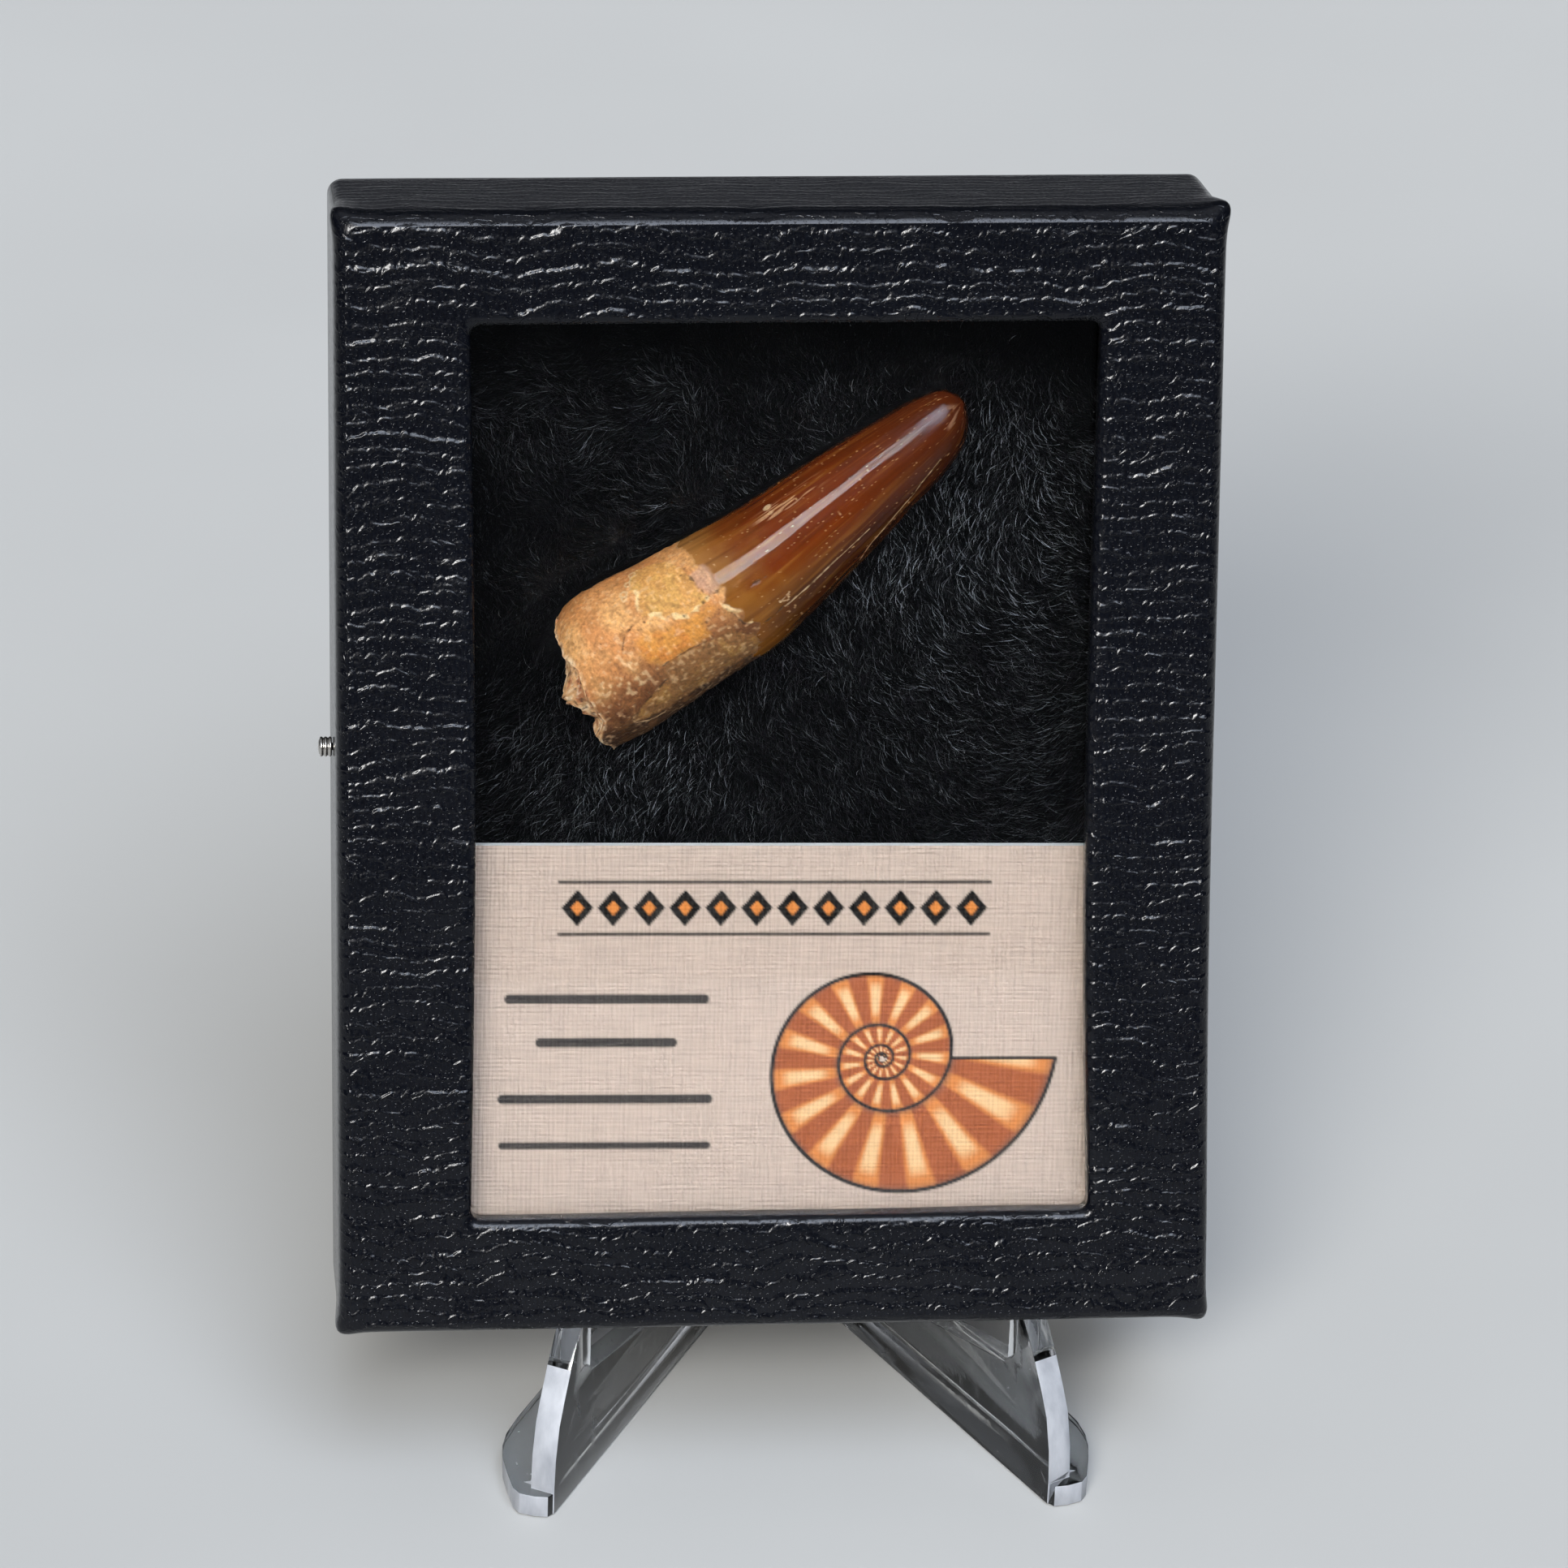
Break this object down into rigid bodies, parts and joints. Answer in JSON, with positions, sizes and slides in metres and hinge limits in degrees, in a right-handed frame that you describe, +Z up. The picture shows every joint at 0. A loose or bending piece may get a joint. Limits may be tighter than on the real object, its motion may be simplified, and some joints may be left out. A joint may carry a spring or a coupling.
{
  "type": "fossil tooth in display case",
  "caption": "Curved conical fossil tooth on a pile pad in a shallow framed window case with a label card, leaning on a clear two-legged easel.",
  "frame": {"origin": "on the ground, under the middle of the whole part's box", "axes": "+Z up, the case's window facing -Y, +X to the viewer's right"},
  "size_m": [0.0846, 0.053, 0.1239],
  "materials": {
    "tooth": "polished enamel over matte root",
    "pile": "black pile",
    "card": "linen-embossed",
    "pane": "clear",
    "leatherette": "grained leatherette paper",
    "tray_paper": "covered paperboard",
    "pin_metal": "nickel-plated",
    "clear_plastic": "clear moulded"
  },
  "bodies": {
    "root": {"fossil_tooth": "tooth", "fur_pad": "pile", "label_card": "card", "window_pane": "pane", "case_lid": "leatherette", "case_tray": "tray_paper", "pin_left": "pin_metal", "pin_right": "pin_metal", "easel_left": "clear_plastic", "easel_right": "clear_plastic"}
  },
  "joints": []
}
